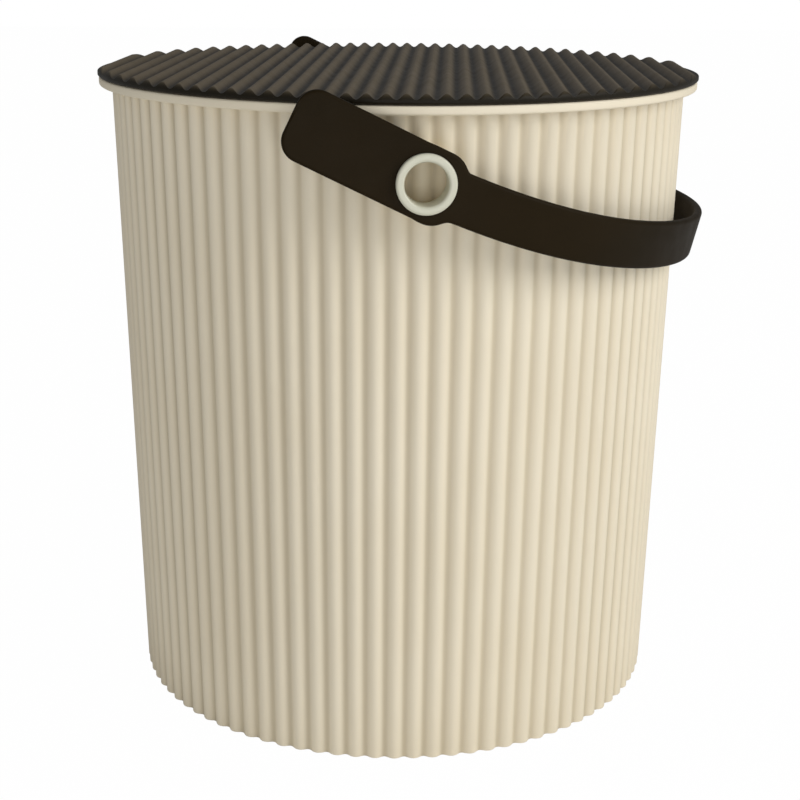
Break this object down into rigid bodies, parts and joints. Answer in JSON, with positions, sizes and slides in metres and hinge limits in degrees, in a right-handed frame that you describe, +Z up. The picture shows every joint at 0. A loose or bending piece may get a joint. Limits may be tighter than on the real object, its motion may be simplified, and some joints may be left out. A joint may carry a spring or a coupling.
{
  "type": "lidded bucket",
  "caption": "Round ribbed plastic bucket with a corrugated lift-off lid and a soft strap handle that swings over the top.",
  "frame": {"origin": "middle of the bucket's underside, on the surface it stands on", "axes": "+Z up the bucket's axis, Y along the line through the two handle pivots, +X the side on which the handle hangs"},
  "size_m": [0.3374, 0.363, 0.3542],
  "materials": {
    "bucket_plastic": "satin cream moulded plastic",
    "ring_plastic": "smooth off-white moulded plastic",
    "lid_plastic": "matt dark grey-brown moulded plastic",
    "handle_rubber": "matt dark brown soft plastic"
  },
  "bodies": {
    "bucket_body": {"bucket": "bucket_plastic", "pivot_ring_front": "ring_plastic", "pivot_ring_rear": "ring_plastic"},
    "lid_body": {"lid": "lid_plastic"},
    "handle_body": {"handle": "handle_rubber"}
  },
  "joints": [
    {"name": "handle_swing", "type": "hinge", "parent": "bucket_body", "child": "handle_body", "pos_m": [0, 0, 0.3116], "axis": [0, -1, 0], "range_deg": [0, 212]},
    {"name": "lid_lift", "type": "slide", "parent": "bucket_body", "child": "lid_body", "axis": [0, 0, 1], "range_m": [0, 0.4]}
  ]
}
